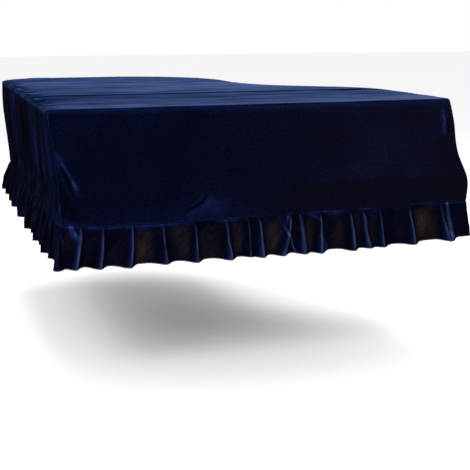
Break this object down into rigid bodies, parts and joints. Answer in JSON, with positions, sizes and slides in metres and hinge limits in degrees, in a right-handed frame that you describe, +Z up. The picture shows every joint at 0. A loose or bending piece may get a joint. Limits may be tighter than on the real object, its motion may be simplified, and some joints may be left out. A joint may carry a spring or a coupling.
{
  "type": "fitted grand piano cover",
  "caption": "Fitted velvet cover for a closed grand piano: flat seamed top cut to the bent outline, four hanging walls and a pleated strip round the lower edge, open underneath.",
  "frame": {"origin": "underside of the top, on the centre line of its width and 800 mm behind its front edge: the spot that lies on the piano's lid", "axes": "+X to the treble side (the player's right), +Y from the front edge to the tail, +Z up"},
  "size_m": [1.5723, 1.9941, 0.5203],
  "materials": {
    "top_velvet": "blue-violet velvet with a bright nap at grazing angles",
    "wall_velvet": "near-black navy velvet, matte, with a soft blue sheen",
    "frill_velvet": "navy velvet, gathered, brown-black in the flats"
  },
  "bodies": {
    "root": {"top_front": "top_velvet", "top_main": "top_velvet", "wall_front": "wall_velvet", "wall_bass": "wall_velvet", "wall_tail": "wall_velvet", "wall_treble": "wall_velvet", "frill_front": "frill_velvet", "frill_bass": "frill_velvet", "frill_tail": "frill_velvet", "frill_treble": "frill_velvet"}
  },
  "joints": []
}
